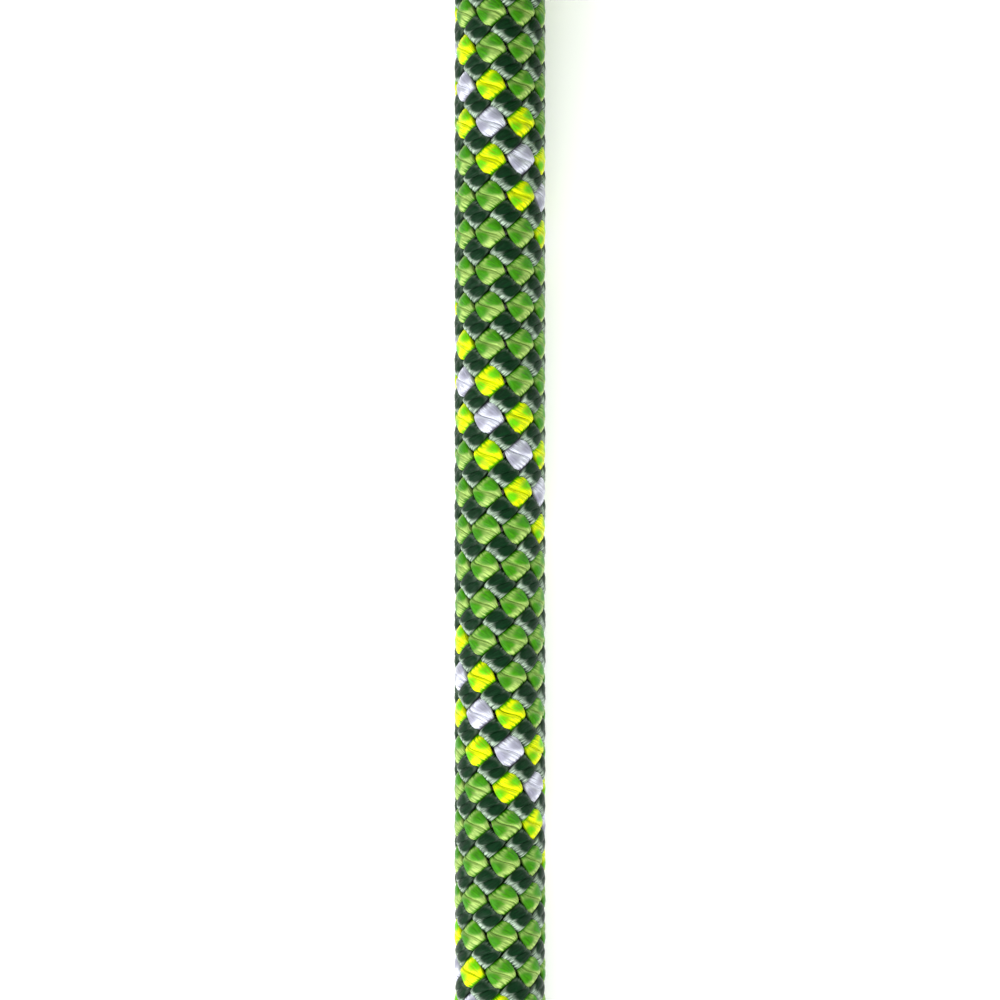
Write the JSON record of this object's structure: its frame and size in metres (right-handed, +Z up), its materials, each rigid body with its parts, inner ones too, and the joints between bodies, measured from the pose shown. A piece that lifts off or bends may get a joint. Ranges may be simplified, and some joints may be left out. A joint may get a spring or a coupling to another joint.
{
  "type": "dynamic climbing rope",
  "caption": "Braided kernmantle climbing rope in lime, green, dark green and white, with a straight length and the rest folded into a tied hank.",
  "frame": {"origin": "centre of the bounding box, on the surface that the rope and its hank lie on", "axes": "+Y along the straight rope, from its free end towards the hank; +Z up from the surface; +X across the hank, from the side where the straight rope leaves it"},
  "size_m": [0.0988, 0.4632, 0.147],
  "materials": {
    "green_yarn": "glossy twisted polyamide yarn",
    "lime_yarn": "glossy twisted polyamide yarn",
    "white_yarn": "glossy twisted polyamide yarn",
    "dark_green_yarn": "glossy twisted polyamide yarn",
    "core_yarn": "raw white polyamide yarn",
    "red_thread": "plain coloured thread",
    "marker_film": "folded clear film tape",
    "sleeve_plastic": "satin heat-shrunk tube",
    "melted_nylon": "fused and hardened polyamide",
    "strap_webbing": "woven webbing",
    "ring_plastic": "fine moulded texture"
  },
  "bodies": {
    "root": {"light_strand_1": "green_yarn", "light_strand_2": "green_yarn", "light_strand_3": "green_yarn", "light_strand_4": "green_yarn", "light_strand_5": "green_yarn", "light_strand_6": "lime_yarn", "light_strand_7": "white_yarn", "light_strand_8": "lime_yarn", "dark_strand_1": "dark_green_yarn", "dark_strand_2": "dark_green_yarn", "dark_strand_3": "dark_green_yarn", "dark_strand_4": "dark_green_yarn", "dark_strand_5": "dark_green_yarn", "dark_strand_6": "dark_green_yarn", "dark_strand_7": "dark_green_yarn", "dark_strand_8": "dark_green_yarn", "core_strand_1": "core_yarn", "core_strand_2": "core_yarn", "core_strand_3": "core_yarn", "core_strand_4": "core_yarn", "core_strand_5": "core_yarn", "core_strand_6": "core_yarn", "core_strand_7": "core_yarn", "core_strand_8": "core_yarn", "core_strand_9": "core_yarn", "core_strand_10": "core_yarn", "core_strand_11": "core_yarn", "core_strand_12": "core_yarn", "year_thread": "red_thread", "marker_tape": "marker_film", "end_sleeve": "sleeve_plastic", "end_tip": "melted_nylon", "lead_rope": "green_yarn", "rope_hank": "green_yarn", "tail_rope": "green_yarn", "tail_sleeve": "sleeve_plastic", "tail_tip": "melted_nylon", "tie_strap": "strap_webbing", "tie_ring": "ring_plastic"}
  },
  "joints": []
}
